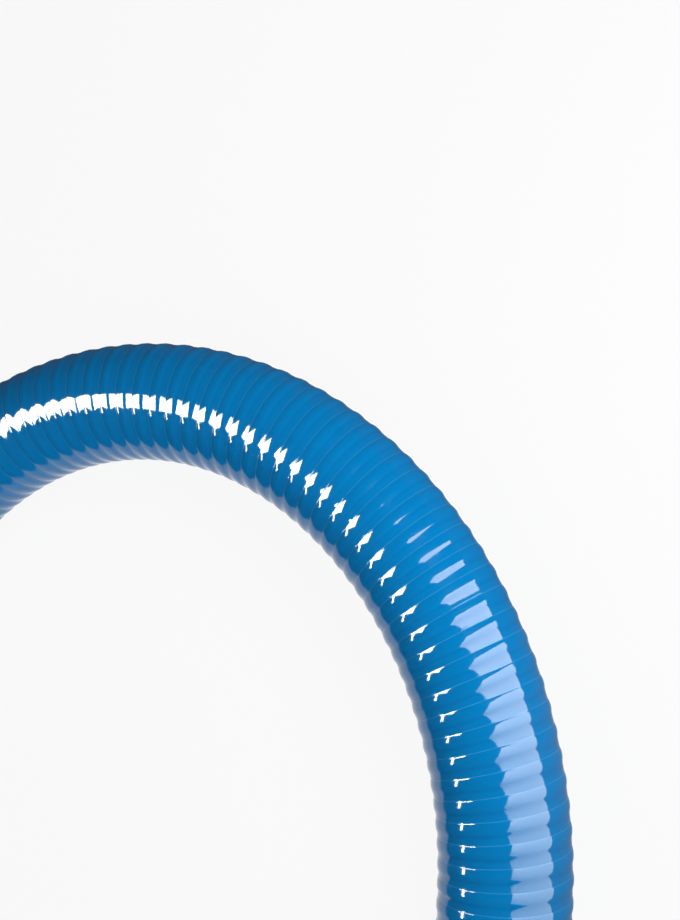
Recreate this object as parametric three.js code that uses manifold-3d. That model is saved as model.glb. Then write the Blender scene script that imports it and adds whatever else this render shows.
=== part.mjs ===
// A one metre piece of flexible pool hose, bent into an arch and lying flat.
// The wall is one piece of PVC: a plain round bore, and outside it a single
// right-handed spiral rib. Millimetres, +Z up, with the arch open towards -Y.
// The origin is on the floor, under the middle of the hose's overall box.

import * as THREE from 'three';
import { mergeVertices } from 'three/addons/utils/BufferGeometryUtils.js';
import Module from 'manifold-3d';

// Driving dimensions of the hose
const HOSE_LENGTH = 1000;    // along the centreline, cut square at both ends
const OUTER_DIAMETER = 50;   // over the rib's crests, to fit a 50 mm socket
const WALL_THICKNESS = 3.5;  // from the rib's crests to the bore, which is smooth
const RIB_PITCH = 8;         // what the rib advances in one turn
const RIB_DEPTH = 0.7;       // from the crest down to the groove
const CREST_WIDTH = 2;       // the top of the rib, along the hose
const DROP_WIDTH = 1.5;      // its steep flank, from the crest to the groove's bottom

// Driving dimensions of the bend
const ARCH_SPAN = 325;       // between the centrelines of the straight legs
const ARCH_RISE = 180;       // from the end of the legs to the crown's centreline

// How finely the round forms are cut into flats
const SECTION_SIDES = 12;
const BORE_STEP = 15;

const PVC_BLUE = 0x0e78c2;
const PVC_ROUGHNESS = 0.22;

const outerRadius = OUTER_DIAMETER / 2;
const boreRadius = outerRadius - WALL_THICKNESS;
const archHalfSpan = ARCH_SPAN / 2;

// The crown of the arch is half an ellipse, and the legs take the rest of the length
const crownLength = new THREE.EllipseCurve(0, 0, archHalfSpan, ARCH_RISE, 0, Math.PI).getLength();
const legLength = (HOSE_LENGTH - crownLength) / 2;

// Where the overall box puts the bend and the cut ends
const legTopY = (legLength - ARCH_RISE - outerRadius) / 2;
const cutEndY = legTopY - legLength;

// Raw ends run past the cut by whole turns of the rib, the bore by one more
const RAW_TURNS = 3;
const BORE_EXTRA_TURNS = 1;

// Up the left leg, round the crown and down the right leg, in plan
function hoseRoute(extraLength) {
  const route = new THREE.Path();
  route.moveTo(-archHalfSpan, cutEndY - extraLength);
  route.lineTo(-archHalfSpan, legTopY);
  route.absellipse(0, legTopY, archHalfSpan, ARCH_RISE, Math.PI, 0, true);
  route.lineTo(archHalfSpan, cutEndY - extraLength);
  return route;
}

// The point at a radius and an angle round the centreline, so far along it.
// Angle 0 faces out of the arch and a quarter turn faces up.
function skinPoint(route, distance, radius, angle) {
  const share = distance / route.getLength();
  const centre = route.getPoint(share);
  const along = route.getTangent(share);
  const outward = radius * Math.cos(angle);
  return [
    centre.x - along.y * outward,
    centre.y + along.x * outward,
    outerRadius + radius * Math.sin(angle),
  ];
}

// A fan that closes a loop of vertices, its normal against the loop's turn
function capFan(loop, hub) {
  return loop.map((vertex, k) => [hub, loop[(k + 1) % loop.length], vertex]);
}

// The two triangles of a quad given in anticlockwise order
function quad(a, b, c, d) {
  return [[a, b, c], [a, c, d]];
}

// The ribbed outside. The rib leans: past its crest it drops steeply into the groove,
// then the wall rises gently to the next turn's crest. Each point of this profile is a
// strand that winds round the hose, and a turn's last strand is joined to the next's first.
function ribbedTube(route) {
  const profile = [
    { along: 0, radius: outerRadius },
    { along: CREST_WIDTH, radius: outerRadius },
    { along: CREST_WIDTH + DROP_WIDTH, radius: outerRadius - RIB_DEPTH },
  ];
  const strands = profile.length;
  const turns = Math.floor(route.getLength() / RIB_PITCH) - 1;
  const steps = turns * SECTION_SIDES;

  const points = [];
  const firstOfStrand = [];
  profile.forEach(({ along, radius }, strand) => {
    firstOfStrand.push(points.length);
    const lastStep = strand === 0 ? steps + SECTION_SIDES : steps;
    for (let step = 0; step <= lastStep; step++) {
      const turned = step / SECTION_SIDES;
      const angle = 2 * Math.PI * turned;
      points.push(skinPoint(route, turned * RIB_PITCH + along, radius, angle));
    }
  });
  const vertex = (step, strand) => (strand === strands
    ? firstOfStrand[0] + step + SECTION_SIDES
    : firstOfStrand[strand] + step);

  const triangles = [];
  for (let step = 0; step < steps; step++) {
    for (let strand = 0; strand < strands; strand++) {
      triangles.push(...quad(
        vertex(step, strand), vertex(step + 1, strand),
        vertex(step + 1, strand + 1), vertex(step, strand + 1)));
    }
  }

  // Each raw end is a loop once round the first strand and back across the others
  const startLoop = [];
  const endLoop = [];
  for (let step = 0; step < SECTION_SIDES; step++) {
    startLoop.push(vertex(step, 0));
    endLoop.push(vertex(steps + SECTION_SIDES - step, 0));
  }
  for (let strand = 0; strand < strands; strand++) {
    startLoop.push(vertex(0, strands - strand));
    endLoop.push(vertex(steps, strand));
  }
  const startHub = points.length;
  points.push(skinPoint(route, RIB_PITCH / 2, 0, 0));
  const endHub = points.length;
  points.push(skinPoint(route, (turns + 0.5) * RIB_PITCH, 0, 0));
  triangles.push(...capFan(startLoop, startHub), ...capFan(endLoop, endHub));
  return { points, triangles };
}

// A plain round rod along the route, in one step on each leg and short ones round the crown
function smoothRod(route, radius) {
  const total = route.getLength();
  const straight = (total - crownLength) / 2;
  const crownSteps = Math.ceil(crownLength / BORE_STEP);
  const stations = [0];
  for (let step = 0; step <= crownSteps; step++) {
    stations.push(straight + crownLength * step / crownSteps);
  }
  stations.push(total);

  const points = [];
  for (const station of stations) {
    for (let side = 0; side < SECTION_SIDES; side++) {
      points.push(skinPoint(route, station, radius, 2 * Math.PI * side / SECTION_SIDES));
    }
  }
  const vertex = (ring, side) => ring * SECTION_SIDES + side % SECTION_SIDES;
  const lastRing = stations.length - 1;
  const triangles = [];
  for (let ring = 0; ring < lastRing; ring++) {
    for (let side = 0; side < SECTION_SIDES; side++) {
      triangles.push(...quad(
        vertex(ring, side), vertex(ring, side + 1),
        vertex(ring + 1, side + 1), vertex(ring + 1, side)));
    }
  }
  const sides = [...Array(SECTION_SIDES).keys()];
  const startHub = points.length;
  points.push(skinPoint(route, 0, 0, 0));
  const endHub = points.length;
  points.push(skinPoint(route, total, 0, 0));
  triangles.push(
    ...capFan(sides.map((side) => vertex(0, side)), startHub),
    ...capFan(sides.map((side) => vertex(lastRing, SECTION_SIDES - side)), endHub));
  return { points, triangles };
}

const wasm = await Module();
wasm.setup();

function solidFromLists({ points, triangles }) {
  return new wasm.Manifold(new wasm.Mesh({
    numProp: 3,
    vertProperties: Float32Array.from(points.flat()),
    triVerts: Uint32Array.from(triangles.flat()),
  }));
}

function solidFromGeometry(geometry) {
  geometry.deleteAttribute('normal');
  geometry.deleteAttribute('uv');
  const merged = mergeVertices(geometry);
  return new wasm.Manifold(new wasm.Mesh({
    numProp: 3,
    vertProperties: Float32Array.from(merged.attributes.position.array),
    triVerts: Uint32Array.from(merged.index.array),
  }));
}

function geometryFromSolid(solid) {
  const { vertProperties, triVerts } = solid.getMesh();
  const geometry = new THREE.BufferGeometry();
  geometry.setAttribute('position', new THREE.BufferAttribute(vertProperties, 3));
  geometry.setIndex(new THREE.BufferAttribute(triVerts, 1));
  geometry.computeVertexNormals();
  return geometry;
}

// The block that a square cut takes off both raw ends at once
function endWaste(rawLength) {
  const width = ARCH_SPAN + 2 * OUTER_DIAMETER;
  const depth = 2 * rawLength;
  const block = new THREE.BoxGeometry(width, depth, 2 * OUTER_DIAMETER);
  return block.translate(0, cutEndY - depth / 2, outerRadius);
}

const rawLength = RAW_TURNS * RIB_PITCH;
const boreRawLength = rawLength + BORE_EXTRA_TURNS * RIB_PITCH;

const hoseSolid = solidFromLists(ribbedTube(hoseRoute(rawLength)))
  .subtract(solidFromLists(smoothRod(hoseRoute(boreRawLength), boreRadius)))
  .subtract(solidFromGeometry(endWaste(boreRawLength)));

const hose = new THREE.Mesh(
  geometryFromSolid(hoseSolid),
  new THREE.MeshStandardMaterial({ color: PVC_BLUE, roughness: PVC_ROUGHNESS, metalness: 0 }));
hose.name = 'pool_hose';

const part = new THREE.Group();
part.add(hose);
export default part;
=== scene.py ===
"""A metre of blue ribbed pool hose, bent into an arch and lying on a pale studio floor.

The hose is one surface: a leaning spiral rib outside, a plain bore inside and square-cut ends.
Everything is in metres, +Z up, with the arch open towards -Y.
"""

import math

import bmesh
import bpy
import numpy as np
from bpy.props import FloatProperty, FloatVectorProperty, PointerProperty
from mathutils import Matrix, Vector


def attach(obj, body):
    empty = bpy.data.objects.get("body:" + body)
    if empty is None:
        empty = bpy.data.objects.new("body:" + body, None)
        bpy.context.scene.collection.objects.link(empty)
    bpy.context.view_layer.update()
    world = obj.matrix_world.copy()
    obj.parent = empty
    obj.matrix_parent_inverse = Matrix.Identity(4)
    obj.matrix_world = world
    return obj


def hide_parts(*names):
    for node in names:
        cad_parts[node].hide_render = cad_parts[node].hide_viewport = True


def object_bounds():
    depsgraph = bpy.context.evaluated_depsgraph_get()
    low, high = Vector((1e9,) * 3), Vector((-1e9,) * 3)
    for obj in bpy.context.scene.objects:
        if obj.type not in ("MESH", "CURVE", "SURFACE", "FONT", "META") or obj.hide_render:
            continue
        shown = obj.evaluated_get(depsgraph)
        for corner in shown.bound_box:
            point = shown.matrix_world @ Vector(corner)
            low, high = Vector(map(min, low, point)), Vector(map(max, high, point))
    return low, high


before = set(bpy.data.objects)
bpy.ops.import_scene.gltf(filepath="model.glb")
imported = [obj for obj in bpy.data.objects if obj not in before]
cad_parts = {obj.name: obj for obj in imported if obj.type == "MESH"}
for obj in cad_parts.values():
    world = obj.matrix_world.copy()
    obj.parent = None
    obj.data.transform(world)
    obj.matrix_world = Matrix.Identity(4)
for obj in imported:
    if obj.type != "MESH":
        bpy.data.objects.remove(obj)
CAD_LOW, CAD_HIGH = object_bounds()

bl_info = {
    "name": "Pool hose",
    "version": (1, 0, 0),
    "blender": (4, 5, 0),
    "location": "View3D > Sidebar > Pool hose",
    "description": "Makes a bent length of ribbed flexible pool hose and its studio",
    "category": "Object",
}

MILLIMETRE = 0.001

# What the frame says of the hose as it lies
OUTER_DIAMETER = CAD_HIGH.z - CAD_LOW.z
ARCH_SPAN = CAD_HIGH.x - CAD_LOW.x - OUTER_DIAMETER

# The rib's slope along the hose, in degrees, over one pitch from a seam line to the next:
# up to the rib's crest, down its steep flank, and gently up the soft web to the next seam
RIB_SLOPES = (
    (0.00, 14.0),
    (0.05, 12.5),
    (0.15, 8.5),
    (0.25, 4.0),
    (0.35, 0.0),
    (0.45, -7.0),
    (0.50, -11.0),
    (0.55, -17.0),
    (0.60, -12.5),
    (0.65, -9.0),
    (0.75, -4.0),
    (0.85, 0.0),
    (1.00, 4.0),
)
# How finely the slopes are summed to the rib's height
PROFILE_SAMPLES = 801
# Where the strands of the mesh run, as shares of the pitch
RIB_STRANDS = (0.0, 0.03, 0.06, 0.14, 0.23, 0.32, 0.41, 0.49, 0.55, 0.61, 0.70, 0.82, 0.94, 0.97)
# The share of the pitch that the stiff rib takes, which keeps its width on a bend, and the
# least and the most of a stretched pitch that it is let take
STIFF_SHARE = 0.64
STIFF_LEAST, STIFF_MOST = 0.4, 0.85
# The fine seam line where the strip was welded to the turn before
SEAM_DEPTH = 0.05 * MILLIMETRE
SEAM_HALF_WIDTH = 0.24 * MILLIMETRE

# How finely the round forms and the centreline are cut
SIDES = 52
BORE_STEP = 0.01
ROUTE_SAMPLES = 4000
# Turns of the rib past each cut, which the cut takes off
SPARE_TURNS = 2
# The small bevel round the cut ends
CUT_EDGE = 0.25 * MILLIMETRE
MERGE_DISTANCE = 0.001 * MILLIMETRE
SHARP_ANGLE = math.radians(48)

# Masks on the skin, as shares of the pitch, for the painted highlight along the seam line and the painted
# shade down the steep flank. Each is full up to its first value and gone at its second, away from the
# seam line or from the middle of the steep flank's lower part.
SEAM_MASK = (0.010, 0.035)
FLANK_MASK = (0.02, 0.14)
FLANK_PLACE = 0.64
# How far painted shade deepens the blue down the flank, how far a painted highlight pales it along the
# seam, how far it turns paler in scuffs, and how much it is mottled
FLANK_SHADE = 0.35
SEAM_HIGHLIGHT = 0.22
SCUFF_PALENESS = 0.5
MOTTLE_DEPTH = 0.08
# The noise of the marks: its scales, and the ranges in which a mark comes in
SCUFF_SCALES = (260.0, 900.0, 420.0)
SCUFF_RANGE = (0.62, 0.78)
PATCH_SCALE = 34.0
PATCH_RANGE = (0.52, 0.70)
MOTTLE_SCALE = 120.0
MOTTLE_COLOUR_RANGE = (0.35, 0.65)
MOTTLE_GLOSS_RANGE = (0.3, 0.7)
# What scuffs and mottling add to the roughness
SCUFF_ROUGHNESS = 0.35
MOTTLE_ROUGHNESS = 0.015
# The orange-peel skin and the refraction of PVC
SKIN_STRENGTH = 0.02
SKIN_HEIGHT = 0.2 * MILLIMETRE
PVC_IOR = 1.54

# The studio: the floor, the camera's sensor in millimetres, and how bright the world is to
# the camera and to everything else
FLOOR_SIDE = 12
FLOOR_SHADE = 0.05
FLOOR_ROUGHNESS = 0.9
SENSOR_WIDTH = 36
WORLD_SEEN = 0.93
WORLD_UNSEEN = 0.05

# The lights that only the gloss shows, each with its place, two sides and brightness: a
# strip far off to the left, a lower one to the left of the crown, and a softbox close on
# the right that fades towards the cut ends
STRIP_DIRECTION = (-0.800, -0.100, 0.572)
STRIP_DISTANCE = 1.8
STRIP_AIM = (0, 0, 0.05)
STRIP_SIDES = (0.17, 0.50)
STRIP_GLOW = 30.0
LOW_STRIP_PLACE = (-0.345, 0.172, 0.350)
LOW_STRIP_SIDES = (0.52, 0.15)
SOFTBOX_PLACE = (0.366, 0.050, 0.232)
SOFTBOX_AIM = (0.0, 0.050, 0.232)
SOFTBOX_SIDES = (0.45, 0.45)
SOFTBOX_GLOW = 7.9
SOFTBOX_FADE = 0.36

# The lights that no gloss shows: a wide fill over the cut ends and a small key on the right
FILL_PLACE = (-0.2, -1.2, 1.9)
FILL_SIDES = (2.5, 2.5)
KEY_PLACE = (0.38, 0.27, 0.30)
KEY_AIM = (0.13, 0.09, 0.03)
KEY_SIDES = (0.25, 0.25)

# How the floor's own light falls off in the gloss. It does so outside the arch, between two
# shares of the outline's half axes, and far off, between two distances from the middle.
OUTSIDE_ARCH = (0.86, 1.04)
FAR_OFF = (0.16, 0.55)
# The fall outside the arch is whole past the second y, and has this share before the first
CROWN_SIDE = (0.06, 0.15)
SIDE_SHARE = 0.8
# The most that the gloss loses of the floor's light, and what the matt skin loses
GLOSS_LOSS = 0.97
MATT_LOSS = 0.62


class HoseSizes(bpy.types.PropertyGroup):
    """The sizes of the hose and of its bend."""

    length: FloatProperty(
        name="Length", description="Along the centreline, cut square at both ends",
        default=1.0, min=0.7, unit="LENGTH")
    outer_diameter: FloatProperty(
        name="Outer diameter", description="Over the crests of the rib",
        default=OUTER_DIAMETER, min=0.02, unit="LENGTH")
    wall: FloatProperty(
        name="Wall", description="From the rib's crests to the smooth bore",
        default=3.5 * MILLIMETRE, min=0.001, unit="LENGTH", precision=4)
    rib_pitch: FloatProperty(
        name="Rib pitch", description="What the spiral rib advances in one turn",
        default=8 * MILLIMETRE, min=0.003, unit="LENGTH", precision=4)
    seam_start: FloatProperty(
        name="Seam start", description="Where the seam line crosses the outside of the bend",
        default=1.5 * MILLIMETRE, unit="LENGTH", precision=4)
    arch_span: FloatProperty(
        name="Arch span", description="Between the centrelines of the straight legs",
        default=ARCH_SPAN, min=0.1, unit="LENGTH")
    arch_rise: FloatProperty(
        name="Arch rise", description="From the end of the legs to the crown's centreline",
        default=0.18, min=0.05, unit="LENGTH")


class HoseFinish(bpy.types.PropertyGroup):
    """The colours and the gloss of the PVC, among them a blue for painted shade and a blue for a painted
    highlight and scuffs.
    """

    blue: FloatVectorProperty(
        name="Blue", description="Colour of the PVC",
        default=(0.0, 0.195, 0.50), size=3, min=0, max=1, subtype="COLOR")
    # Painted shade: this darker blue down the rib's steep flank stands in for the shade in the groove.
    flank_shade_blue: FloatVectorProperty(
        name="Deep blue", description="Colour down the rib's steep flank",
        default=(0.0, 0.145, 0.42), size=3, min=0, max=1, subtype="COLOR")
    # Partly painted highlight, partly real wear: this paler blue is a painted reflection along the seam
    # line's notch, and the colour of scuffs.
    seam_highlight_and_scuff_blue: FloatVectorProperty(
        name="Pale blue", description="Colour of the seam line and of scuffs",
        default=(0.10, 0.40, 0.78), size=3, min=0, max=1, subtype="COLOR")
    gloss: FloatProperty(
        name="Roughness", description="Roughness of the clean glossy skin",
        default=0.07, min=0, max=1, subtype="FACTOR")


class StudioSettings(bpy.types.PropertyGroup):
    """The camera and the lights."""

    camera_place: FloatVectorProperty(
        name="Camera place", description="Where the camera stands",
        default=(0.2682, 0.1516, 0.4490), size=3, subtype="TRANSLATION")
    camera_turn: FloatVectorProperty(
        name="Camera turn", description="How the camera is turned",
        default=tuple(math.radians(angle) for angle in (3.193, 22.68, 2.42)), size=3, subtype="EULER")
    lens: FloatProperty(
        name="Lens", description="Focal length in millimetres, for a 36 mm sensor",
        default=45.268, min=10)
    floor_glow: FloatProperty(
        name="Floor glow", description="How much of the floor's white is its own light",
        default=0.912, min=0, max=1, subtype="FACTOR")
    key_power: FloatProperty(
        name="Key power", description="Soft light from the right, which no gloss shows",
        default=1.7, min=0, unit="POWER")
    fill_power: FloatProperty(
        name="Fill power", description="Soft light from above, which no gloss shows",
        default=26, min=0, unit="POWER")


def sizes():
    """The sizes set in the scene."""
    return bpy.context.scene.hose_sizes


class Route:
    """The centreline in plan: up the left leg, round half an ellipse, down the right leg.

    The half ellipse is x = -a cos t, y = b sin t for t from 0 to half a turn. Its length is
    summed over small chords, and a distance along it is turned back into t by interpolation.
    """

    def __init__(self, size):
        half_span, rise = size.arch_span / 2, size.arch_rise
        t = np.linspace(0, np.pi, ROUTE_SAMPLES)
        x, y = -half_span * np.cos(t), rise * np.sin(t)
        run = np.concatenate([[0], np.cumsum(np.hypot(np.diff(x), np.diff(y)))])
        self.half_span, self.rise = half_span, rise
        self.t, self.run = t, run
        self.length = size.length
        self.leg = (size.length - run[-1]) / 2
        self.leg_top = (self.leg - rise - size.outer_diameter / 2) / 2

    def at(self, distance):
        """Centre x and y, tangent x and y, and curvature, at distances along the hose.

        The curvature is that of the ellipse, a b / (a² sin² t + b² cos² t) to the power 3/2,
        and nothing on the legs. It is positive where the outside of the arch is stretched.
        """
        a, b = self.half_span, self.rise
        on_crown = np.clip(distance - self.leg, 0, self.run[-1])
        t = np.interp(on_crown, self.run, self.t)
        before = np.minimum(distance - self.leg, 0)
        after = np.maximum(distance - self.leg - self.run[-1], 0)
        x = -a * np.cos(t)
        y = self.leg_top + b * np.sin(t) + before - after
        speed = np.hypot(a * np.sin(t), b * np.cos(t))
        curvature = np.where((before < 0) | (after > 0), 0.0, a * b / speed ** 3)
        return x, y, a * np.sin(t) / speed, b * np.cos(t) / speed, curvature


def skin_points(route, distance, radius, angle, centre_height):
    """Points at a radius and an angle round the centreline, so far along it.

    The point is the centre, plus radius times the cosine of the angle outwards from the
    arch, plus radius times its sine upwards.
    """
    x, y, along_x, along_y, _ = route.at(distance)
    outward = radius * np.cos(angle)
    return np.stack([
        x - along_y * outward,
        y + along_x * outward,
        centre_height + radius * np.sin(angle) + 0 * x,
    ], axis=-1)


def rib_height(share):
    """Height of the rib's profile, in metres below the crest, at a share of the pitch.

    The profile's height is its slope summed along the pitch, less the straight line that
    would leave the end of a turn at another height than the next one's start.
    """
    place, degrees = np.array(RIB_SLOPES).T
    fine = np.linspace(0, 1, PROFILE_SAMPLES)
    slope = np.tan(np.radians(np.interp(fine, place, degrees)))
    step = sizes().rib_pitch / (PROFILE_SAMPLES - 1)
    height = np.concatenate([[0], np.cumsum((slope[1:] + slope[:-1]) / 2 * step)])
    height -= height[-1] * fine
    height -= height.max()
    from_seam = np.minimum(share, 1 - share) * sizes().rib_pitch
    notch = SEAM_DEPTH * np.clip(1 - from_seam / SEAM_HALF_WIDTH, 0, 1)
    return np.interp(share, fine, height) - notch


def bent_share(share, stretch):
    """Where a share of the pitch comes to lie on a bend.

    The stiff rib keeps its width, so its share of the stretched pitch shrinks by the
    stretch, and the soft web between the ribs takes up the rest.
    """
    stiff = np.clip(STIFF_SHARE / stretch, STIFF_LEAST, STIFF_MOST)
    on_rib = share * stiff / STIFF_SHARE
    on_web = 1 - (1 - share) * (1 - stiff) / (1 - STIFF_SHARE)
    return np.where(share < STIFF_SHARE, on_rib, on_web)


def grid_quads(rows, columns, wrap_shift=0):
    """Corner numbers of the quads of a grid that closes on itself from its last row to its first.

    Vertex (row, column) has the number row * columns + column. The quad that closes the
    turn goes on in the first row, wrap_shift columns further along. Rows come first in the
    order of the corners, so that rows that turn anticlockwise give a normal facing out.
    """
    row = np.arange(rows)[:, None]
    column = np.arange(columns - 1 - wrap_shift)[None, :]
    following = (row + 1) % rows
    shift = np.where(row + 1 == rows, wrap_shift, 0)
    near = row * columns + column
    far = following * columns + column + shift
    return np.stack([near, far, far + 1, near + 1], axis=-1).reshape(-1, 4)


def turn_corners(rows, quads, columns):
    """The share of a turn at each quad corner, where the closing quads end at a whole turn."""
    turn = (quads // columns) / rows
    closing = (quads[:, 0] // columns) == rows - 1
    turn[closing, 1] = 1
    turn[closing, 2] = 1
    return turn


def ribbed_skin(route, size):
    """Vertices, quads, turns and distances of the ribbed outside.

    Each column is a strand of the rib's profile that winds round the hose: its distance
    along is the strand's place plus one pitch for each turn. At the two cuts the distance
    stops just short of the end, and the radius there is the rib's own at that place.
    """
    pitch = size.rib_pitch
    strands = len(RIB_STRANDS)
    turns = math.ceil(route.length / pitch) + 2 * SPARE_TURNS
    share = np.tile(np.array(RIB_STRANDS), turns)[None, :]
    turn_number = np.repeat(np.arange(turns) - SPARE_TURNS, strands)[None, :]
    angle = (np.arange(SIDES) / SIDES * 2 * np.pi)[:, None]
    lead = size.seam_start + pitch * (turn_number + angle / (2 * np.pi))

    curvature = route.at(lead + share * pitch)[4]
    stretch = 1 + curvature * size.outer_diameter / 2 * np.cos(angle)
    distance = lead + pitch * bent_share(share, stretch)
    low, high = CUT_EDGE, route.length - CUT_EDGE
    kept = np.clip(distance, low, high)
    share_there = np.where(kept == distance, share, ((kept - lead) / pitch) % 1)
    radius = size.outer_diameter / 2 + rib_height(share_there)

    points = skin_points(route, kept, radius, angle, size.outer_diameter / 2)
    columns = points.shape[1]
    quads = grid_quads(SIDES, columns, wrap_shift=strands)
    flat = distance.reshape(-1)[quads]
    used = ~((flat <= low).all(axis=1) | (flat >= high).all(axis=1))
    quads = quads[used]
    turn = turn_corners(SIDES, quads, columns)
    return points.reshape(-1, 3), quads, turn, kept.reshape(-1)[quads]


def cut_radius(route, size, distance):
    """The ribbed outside's radius round the hose at a cut, one value for each side."""
    turned = np.arange(SIDES) / SIDES
    share = ((distance - size.seam_start) / size.rib_pitch - turned) % 1
    return size.outer_diameter / 2 + rib_height(share)


def bore_and_cuts(route, size):
    """Vertices, quads, turns and distances of the two cut faces and the bore between them.

    It is one surface: rings at given distances and radii, from the edge of the ribbed skin
    at the far cut over the cut face, back through the bore and over the near cut face.
    """
    angle = (np.arange(SIDES) / SIDES * 2 * np.pi)[:, None]
    bore = size.outer_diameter / 2 - size.wall
    steps = math.ceil(route.length / BORE_STEP)
    inside = np.linspace(route.length - CUT_EDGE, CUT_EDGE, steps)

    def face(end, inner_end):
        outside = cut_radius(route, size, inner_end)
        return [
            (inner_end, outside),
            (end, outside - CUT_EDGE),
            (end, (outside + bore) / 2),
            (end, 0 * outside + bore + CUT_EDGE),
        ]

    rings = face(route.length, route.length - CUT_EDGE)
    rings += [(distance, np.full(SIDES, bore)) for distance in inside]
    rings += face(0.0, CUT_EDGE)[::-1]
    distance = np.array([ring[0] for ring in rings])[None, :] + 0 * angle
    radius = np.stack([ring[1] for ring in rings], axis=1)
    points = skin_points(route, distance, radius, angle, size.outer_diameter / 2)
    columns = points.shape[1]
    quads = grid_quads(SIDES, columns)
    turn = turn_corners(SIDES, quads, columns)
    return points.reshape(-1, 3), quads, turn, distance.reshape(-1)[quads]


def mesh_from_grids(name, grids, length):
    """One mesh of several grids, their shared points merged and the quads that closed up dropped.

    Its UV map has the share of a turn across and the share of the length along.
    """
    offset = 0
    points, quads, turns, distances = [], [], [], []
    for grid_points, grid_faces, turn, distance in grids:
        points.append(grid_points)
        quads.append(grid_faces + offset)
        turns.append(turn)
        distances.append(distance)
        offset += len(grid_points)
    points, quads = np.concatenate(points), np.concatenate(quads)
    mesh = bpy.data.meshes.new(name)
    mesh.from_pydata(points, [], quads)
    around = np.concatenate(turns).reshape(-1)
    along = np.concatenate(distances).reshape(-1) / length
    uv = mesh.uv_layers.new(name="skin")
    uv.data.foreach_set("uv", np.stack([around, along], axis=1).astype(np.float32).reshape(-1))

    shape = bmesh.new()
    shape.from_mesh(mesh)
    bmesh.ops.remove_doubles(shape, verts=shape.verts, dist=MERGE_DISTANCE)
    loose = [vertex for vertex in shape.verts if not vertex.link_faces]
    bmesh.ops.delete(shape, geom=loose, context="VERTS")
    shape.to_mesh(mesh)
    shape.free()
    mesh.shade_smooth()
    mesh.set_sharp_from_angle(angle=SHARP_ANGLE)
    return mesh


class NodeSheet:
    """Adds shader nodes to a tree, with inputs given as values or as sockets."""

    def __init__(self, tree):
        self.tree = tree

    def add(self, kind, settings=None, **inputs):
        """One node. Inputs are named as its sockets are, with _ for a space."""
        node = self.tree.nodes.new(kind)
        for key, value in (settings or {}).items():
            setattr(node, key, value)
        for key, value in inputs.items():
            self.put(node.inputs[key.replace("_", " ")], value)
        return node

    def put(self, socket, value):
        """Links a socket, or sets the input's own value."""
        if isinstance(value, bpy.types.NodeSocket):
            self.tree.links.new(value, socket)
        else:
            socket.default_value = value

    def math(self, operation, *values, clamp=False):
        """The output of a Math node."""
        node = self.add("ShaderNodeMath", {"operation": operation, "use_clamp": clamp})
        for socket, value in zip(node.inputs, values):
            self.put(socket, value)
        return node.outputs[0]

    def ramp(self, value, low, high, to_low=0.0, to_high=1.0):
        """A value taken smoothly from one range to another."""
        node = self.add("ShaderNodeMapRange", {"interpolation_type": "SMOOTHSTEP"})
        for socket, given in zip(node.inputs, (value, low, high, to_low, to_high)):
            self.put(socket, given)
        return node.outputs["Result"]

    def blend(self, share, first, second):
        """A colour between two colours. A Mix node's colours are its sockets 6, 7 and 2."""
        node = self.add("ShaderNodeMix", {"data_type": "RGBA"})
        self.put(node.inputs[0], share)
        self.put(node.inputs[6], first)
        self.put(node.inputs[7], second)
        return node.outputs[2]


def node_group(name, inputs, outputs):
    """An empty shader node group with its sockets, and a sheet for its nodes.

    inputs are name, kind and default, and outputs are name and kind.
    """
    group = bpy.data.node_groups.new(name, "ShaderNodeTree")
    for label, kind, default in inputs:
        socket = group.interface.new_socket(label, in_out="INPUT", socket_type=kind)
        socket.default_value = default
    for label, kind in outputs:
        group.interface.new_socket(label, in_out="OUTPUT", socket_type=kind)
    sheet = NodeSheet(group)
    return group, sheet, sheet.add("NodeGroupInput"), sheet.add("NodeGroupOutput")


def rib_place_group():
    """Masks that follow the spiral rib: its seam line, for a painted highlight, and its steep flank, for
    painted shade.

    The place along the rib's profile is distance over pitch, less the share of a turn, less
    the seam's start, and only its fraction counts.
    """
    group, sheet, given, result = node_group(
        "spiral_rib",
        [("Pitches in length", "NodeSocketFloat", 125.0), ("Seam start", "NodeSocketFloat", 0.0)],
        [("Seam", "NodeSocketFloat"), ("Flank", "NodeSocketFloat")])
    uv = sheet.add("ShaderNodeUVMap", {"uv_map": "skin"})
    part = sheet.add("ShaderNodeSeparateXYZ", Vector=uv.outputs[0])
    turns = sheet.math("MULTIPLY", part.outputs["Y"], given.outputs["Pitches in length"])
    wound = sheet.math("SUBTRACT", turns, part.outputs["X"])
    place = sheet.math("FRACT", sheet.math("SUBTRACT", wound, given.outputs["Seam start"]))
    from_seam = sheet.math("MINIMUM", place, sheet.math("SUBTRACT", 1.0, place))
    from_flank = sheet.math("ABSOLUTE", sheet.math("SUBTRACT", place, FLANK_PLACE))
    sheet.put(result.inputs["Seam"], sheet.ramp(from_seam, *SEAM_MASK, 1.0, 0.0))
    sheet.put(result.inputs["Flank"], sheet.ramp(from_flank, *FLANK_MASK, 1.0, 0.0))
    return group


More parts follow.
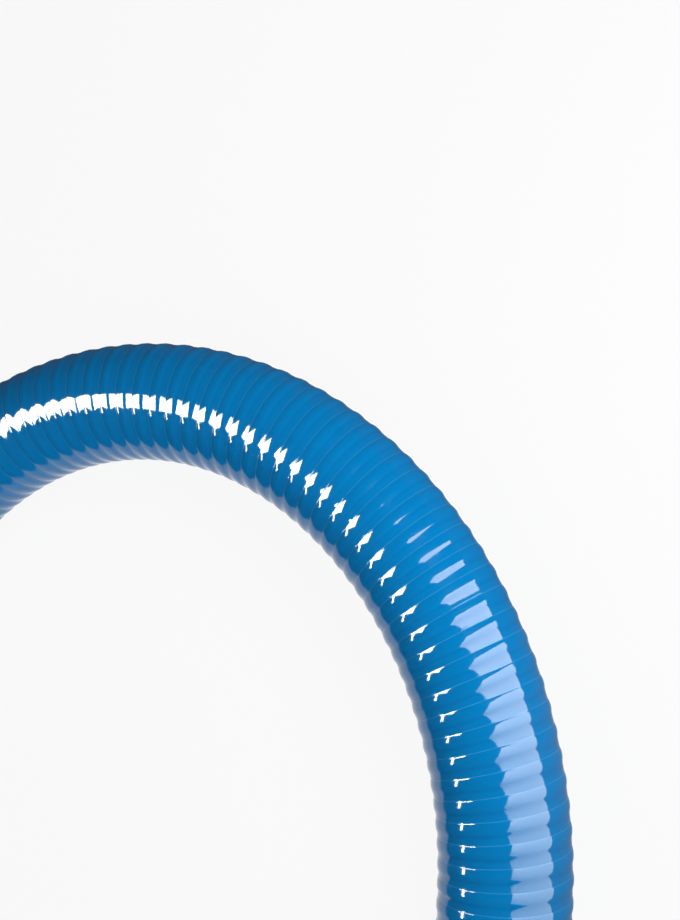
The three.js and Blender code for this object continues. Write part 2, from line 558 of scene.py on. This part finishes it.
def handling_group():
    """Marks of handling: fine scuffs and a faint orange-peel skin, from Object coordinates.

    A scuff is where stretched noise comes over a threshold. The skin's height is fine noise.
    """
    group, sheet, given, result = node_group(
        "handling_marks",
        [("Scuff amount", "NodeSocketFloat", 0.3), ("Skin scale", "NodeSocketFloat", 900.0)],
        [("Scuff", "NodeSocketFloat"), ("Mottle", "NodeSocketFloat"), ("Skin height", "NodeSocketFloat")])
    place = sheet.add("ShaderNodeTexCoord").outputs["Object"]
    stretched = sheet.add("ShaderNodeMapping", Vector=place, Scale=SCUFF_SCALES)
    scratches = sheet.add("ShaderNodeTexNoise", Vector=stretched.outputs[0], Scale=1.0, Detail=3.0)
    patches = sheet.add("ShaderNodeTexNoise", Vector=place, Scale=PATCH_SCALE, Detail=2.0)
    hit = sheet.ramp(scratches.outputs["Fac"], *SCUFF_RANGE)
    where = sheet.ramp(patches.outputs["Fac"], *PATCH_RANGE)
    scuff = sheet.math("MULTIPLY", sheet.math("MULTIPLY", hit, where), given.outputs["Scuff amount"])
    mottle = sheet.add("ShaderNodeTexNoise", Vector=place, Scale=MOTTLE_SCALE, Detail=4.0)
    skin = sheet.add("ShaderNodeTexNoise", Vector=place, Scale=given.outputs["Skin scale"], Detail=1.0)
    sheet.put(result.inputs["Scuff"], scuff)
    sheet.put(result.inputs["Mottle"], mottle.outputs["Fac"])
    sheet.put(result.inputs["Skin height"], skin.outputs["Fac"])
    return group


def hose_pvc():
    """Glossy blue PVC, with painted shade deepening it down the steep flank, a painted highlight paling
    it along the seam, and paler scuffs.
    """
    size, finish = sizes(), bpy.context.scene.hose_finish
    material = bpy.data.materials.new("hose_pvc")
    material.use_nodes = True
    tree = material.node_tree
    sheet = NodeSheet(tree)
    shader = tree.nodes["Principled BSDF"]

    rib = sheet.add("ShaderNodeGroup", {"node_tree": rib_place_group()})
    rib.inputs["Pitches in length"].default_value = size.length / size.rib_pitch
    rib.inputs["Seam start"].default_value = size.seam_start / size.rib_pitch
    marks = sheet.add("ShaderNodeGroup", {"node_tree": handling_group()})

    blue, painted_shade_blue, highlight_and_scuff_blue = ((*tint, 1.0) for tint in (finish.blue, finish.flank_shade_blue, finish.seam_highlight_and_scuff_blue))
    scuff, mottle = marks.outputs["Scuff"], marks.outputs["Mottle"]
    # Painted shade: a deeper blue down the steep flank, where the groove lies in shade.
    painted_shade_share = sheet.math("MULTIPLY", rib.outputs["Flank"], FLANK_SHADE)
    uneven = sheet.ramp(mottle, *MOTTLE_COLOUR_RANGE, -MOTTLE_DEPTH, MOTTLE_DEPTH)
    colour = sheet.blend(sheet.math("ADD", painted_shade_share, uneven, clamp=True), blue, painted_shade_blue)
    # Painted highlight: a paler blue along the seam line, where its notch would catch a reflection.
    colour = sheet.blend(sheet.math("MULTIPLY", rib.outputs["Seam"], SEAM_HIGHLIGHT), colour, highlight_and_scuff_blue)
    colour = sheet.blend(sheet.math("MULTIPLY", scuff, SCUFF_PALENESS), colour, highlight_and_scuff_blue)
    sheet.put(shader.inputs["Base Color"], colour)

    roughness = sheet.math("ADD", sheet.math("MULTIPLY", scuff, SCUFF_ROUGHNESS), finish.gloss)
    uneven = sheet.ramp(mottle, *MOTTLE_GLOSS_RANGE, -MOTTLE_ROUGHNESS, MOTTLE_ROUGHNESS)
    sheet.put(shader.inputs["Roughness"], sheet.math("ADD", roughness, uneven))
    bump = sheet.add("ShaderNodeBump", Strength=SKIN_STRENGTH, Distance=SKIN_HEIGHT,
                     Height=marks.outputs["Skin height"])
    sheet.put(shader.inputs["Normal"], bump.outputs[0])
    shader.inputs["IOR"].default_value = PVC_IOR
    return material


def floor_material(name, shade, glow):
    """A plain matt floor that gives off white light of its own.

    In reflections its light falls off, so that the gloss keeps the hose's own blue. It does
    so outside the arch, by the place in the outline's ellipse, the root of (x/a)² + (y/b)²,
    and far off, and the hose's matt skin gets less of it everywhere.
    """
    size = sizes()
    route = Route(size)
    material = bpy.data.materials.new(name)
    material.use_nodes = True
    shader = material.node_tree.nodes["Principled BSDF"]
    shader.inputs["Base Color"].default_value = (shade, shade, shade, 1.0)
    shader.inputs["Roughness"].default_value = FLOOR_ROUGHNESS
    shader.inputs["Specular IOR Level"].default_value = 0.0
    shader.inputs["Emission Strength"].default_value = 1.0

    sheet = NodeSheet(material.node_tree)
    place = sheet.add("ShaderNodeTexCoord").outputs["Object"]
    part = sheet.add("ShaderNodeSeparateXYZ", Vector=place)
    radius = size.outer_diameter / 2
    half_axes = (size.arch_span / 2 + radius, size.arch_rise + radius)
    across = sheet.math("DIVIDE", part.outputs["X"], half_axes[0])
    past_legs = sheet.math("SUBTRACT", part.outputs["Y"], route.leg_top)
    along = sheet.math("DIVIDE", past_legs, half_axes[1])
    squares = sheet.math("ADD", sheet.math("POWER", across, 2.0), sheet.math("POWER", along, 2.0))
    outside = sheet.ramp(sheet.math("SQRT", squares), *OUTSIDE_ARCH)
    beside = sheet.ramp(part.outputs["Y"], *CROWN_SIDE, SIDE_SHARE)
    distance = sheet.add("ShaderNodeVectorMath", {"operation": "LENGTH"}, Vector=place)
    far = sheet.ramp(distance.outputs["Value"], *FAR_OFF)
    dark = sheet.math("MAXIMUM", sheet.math("MULTIPLY", outside, beside), far)
    ray = sheet.add("ShaderNodeLightPath")
    in_gloss = sheet.math("MULTIPLY", ray.outputs["Is Glossy Ray"], GLOSS_LOSS)
    in_matt = sheet.math("MULTIPLY", ray.outputs["Is Diffuse Ray"], MATT_LOSS)
    loss = sheet.math("MAXIMUM", sheet.math("MULTIPLY", dark, in_gloss), in_matt)
    colour = sheet.blend(loss, (glow, glow, glow, 1.0), (0.0, 0.0, 0.0, 1.0))
    sheet.put(shader.inputs["Emission Color"], colour)
    return material


class POOLHOSE_OT_make_hose(bpy.types.Operator):
    """Makes the ribbed hose as one piece, in place of the plain solid"""

    bl_idname = "poolhose.make_hose"
    bl_label = "Make hose"
    bl_options = {"REGISTER", "UNDO"}

    def execute(self, context):
        size = sizes()
        route = Route(size)
        grids = [ribbed_skin(route, size), bore_and_cuts(route, size)]
        mesh = mesh_from_grids("ribbed_hose", grids, route.length)
        if not mesh.polygons:
            raise RuntimeError("The hose came out without a surface")
        hose = bpy.data.objects.new("ribbed_hose", mesh)
        context.scene.collection.objects.link(hose)
        mesh.materials.append(hose_pvc())

        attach(hose, "root")
        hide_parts("pool_hose")
        return {"FINISHED"}


def flat_sheet(name, centre, across, along, material):
    """A flat sheet with its middle at a point, as a grid of four points.

    A corner is the centre, plus or minus half of each of the two edge vectors.
    """
    centre, across, along = (np.array(v, float) for v in (centre, across, along))
    signs = np.array([(-1, -1), (1, -1), (1, 1), (-1, 1)])
    points = centre + signs[:, :1] * across / 2 + signs[:, 1:] * along / 2
    mesh = bpy.data.meshes.new(name)
    mesh.from_pydata(points, [], [(0, 1, 2, 3)])
    sheet = bpy.data.objects.new(name, mesh)
    mesh.materials.append(material)
    bpy.context.scene.collection.objects.link(sheet)
    return sheet


def glow_of(power, sides):
    """The brightness of a rectangular light: its power over its area and pi."""
    return power / (sides[0] * sides[1] * math.pi)


def studio_light(name, place, aim, sides, glow, seen_by, fade=1.0):
    """A rectangular light at a place, facing a point, with its second side towards +Y.

    glow is its brightness. A rectangle's power is its brightness times its area times pi.
    seen_by is "gloss", for a light that only reflections show, or "diffuse", for the rest.
    fade is the share of the brightness that is left at the -Y end of the second side.
    """
    data = bpy.data.lights.new(name, "AREA")
    data.shape = "RECTANGLE"
    data.size, data.size_y = sides
    data.energy = glow * sides[0] * sides[1] * math.pi
    data.use_nodes = True
    sheet = NodeSheet(data.node_tree)
    part = sheet.add("ShaderNodeSeparateXYZ")
    sheet.put(part.inputs[0], sheet.add("ShaderNodeNewGeometry").outputs["Parametric"])
    strength = sheet.ramp(part.outputs["Y"], 0.0, 1.0, fade, 1.0)
    sheet.put(data.node_tree.nodes["Emission"].inputs["Strength"], strength)
    light = bpy.data.objects.new(name, data)
    back = (Vector(place) - Vector(aim)).normalized()
    side = Vector((0, 1, 0)).cross(back).normalized()
    turn = Matrix((side, back.cross(side), back)).transposed()
    light.matrix_world = Matrix.Translation(place) @ turn.to_4x4()
    light.visible_glossy = seen_by == "gloss"
    light.visible_diffuse = seen_by == "diffuse"
    light.visible_camera = False
    bpy.context.scene.collection.objects.link(light)
    return light


class POOLHOSE_OT_set_stage(bpy.types.Operator):
    """Sets the camera, the pale floor and the studio lights"""

    bl_idname = "poolhose.set_stage"
    bl_label = "Set stage"
    bl_options = {"REGISTER", "UNDO"}

    def execute(self, context):
        scene = context.scene
        settings = scene.hose_studio
        data = bpy.data.cameras.new("photo_camera")
        data.sensor_width = SENSOR_WIDTH
        data.lens = settings.lens
        camera = bpy.data.objects.new("photo_camera", data)
        camera.location = settings.camera_place
        camera.rotation_euler = settings.camera_turn
        scene.collection.objects.link(camera)
        scene.camera = camera

        floor_white = floor_material("floor_white", FLOOR_SHADE, settings.floor_glow)
        flat_sheet("floor", (0, 0, 0), (FLOOR_SIDE, 0, 0), (0, FLOOR_SIDE, 0), floor_white)

        strip_place = Vector(STRIP_DIRECTION) * STRIP_DISTANCE
        studio_light("strip_light", strip_place, STRIP_AIM, STRIP_SIDES, STRIP_GLOW, "gloss")
        straight_down = (*LOW_STRIP_PLACE[:2], 0.0)
        studio_light("low_strip", LOW_STRIP_PLACE, straight_down, LOW_STRIP_SIDES, STRIP_GLOW, "gloss")
        studio_light("softbox", SOFTBOX_PLACE, SOFTBOX_AIM, SOFTBOX_SIDES, SOFTBOX_GLOW, "gloss",
                     fade=SOFTBOX_FADE)
        fill_glow = glow_of(settings.fill_power, FILL_SIDES)
        studio_light("fill", FILL_PLACE, (0, 0, 0), FILL_SIDES, fill_glow, "diffuse")
        key_glow = glow_of(settings.key_power, KEY_SIDES)
        studio_light("key", KEY_PLACE, KEY_AIM, KEY_SIDES, key_glow, "diffuse")

        world = bpy.data.worlds.new("studio")
        world.use_nodes = True
        scene.world = world
        sheet = NodeSheet(world.node_tree)
        background = world.node_tree.nodes["Background"]
        path = sheet.add("ShaderNodeLightPath")
        unseen, seen = (WORLD_UNSEEN,) * 3 + (1,), (WORLD_SEEN,) * 3 + (1,)
        colour = sheet.blend(path.outputs["Is Camera Ray"], unseen, seen)
        sheet.put(background.inputs["Color"], colour)
        scene.view_settings.view_transform = "Standard"
        return {"FINISHED"}


class POOLHOSE_PT_panel(bpy.types.Panel):
    """Lists the steps of the hose and its studio, with their settings"""

    bl_label = "Pool hose"
    bl_idname = "POOLHOSE_PT_panel"
    bl_space_type = "VIEW_3D"
    bl_region_type = "UI"
    bl_category = "Pool hose"

    def draw(self, context):
        layout = self.layout
        for group in (context.scene.hose_sizes, context.scene.hose_finish, context.scene.hose_studio):
            box = layout.box()
            for name in group.__annotations__:
                box.prop(group, name)
        layout.operator(POOLHOSE_OT_set_stage.bl_idname)
        layout.operator(POOLHOSE_OT_make_hose.bl_idname)


CLASSES = (
    HoseSizes, HoseFinish, StudioSettings,
    POOLHOSE_OT_set_stage, POOLHOSE_OT_make_hose, POOLHOSE_PT_panel,
)


def register():
    """Adds the classes and the settings to Blender."""
    for item in CLASSES:
        bpy.utils.register_class(item)
    bpy.types.Scene.hose_sizes = PointerProperty(type=HoseSizes)
    bpy.types.Scene.hose_finish = PointerProperty(type=HoseFinish)
    bpy.types.Scene.hose_studio = PointerProperty(type=StudioSettings)


def unregister():
    """Takes the classes and the settings out again."""
    del bpy.types.Scene.hose_studio
    del bpy.types.Scene.hose_finish
    del bpy.types.Scene.hose_sizes
    for item in reversed(CLASSES):
        bpy.utils.unregister_class(item)


def main():
    register()
    bpy.ops.poolhose.set_stage()
    bpy.ops.poolhose.make_hose()


if __name__ == "__main__":
    main()
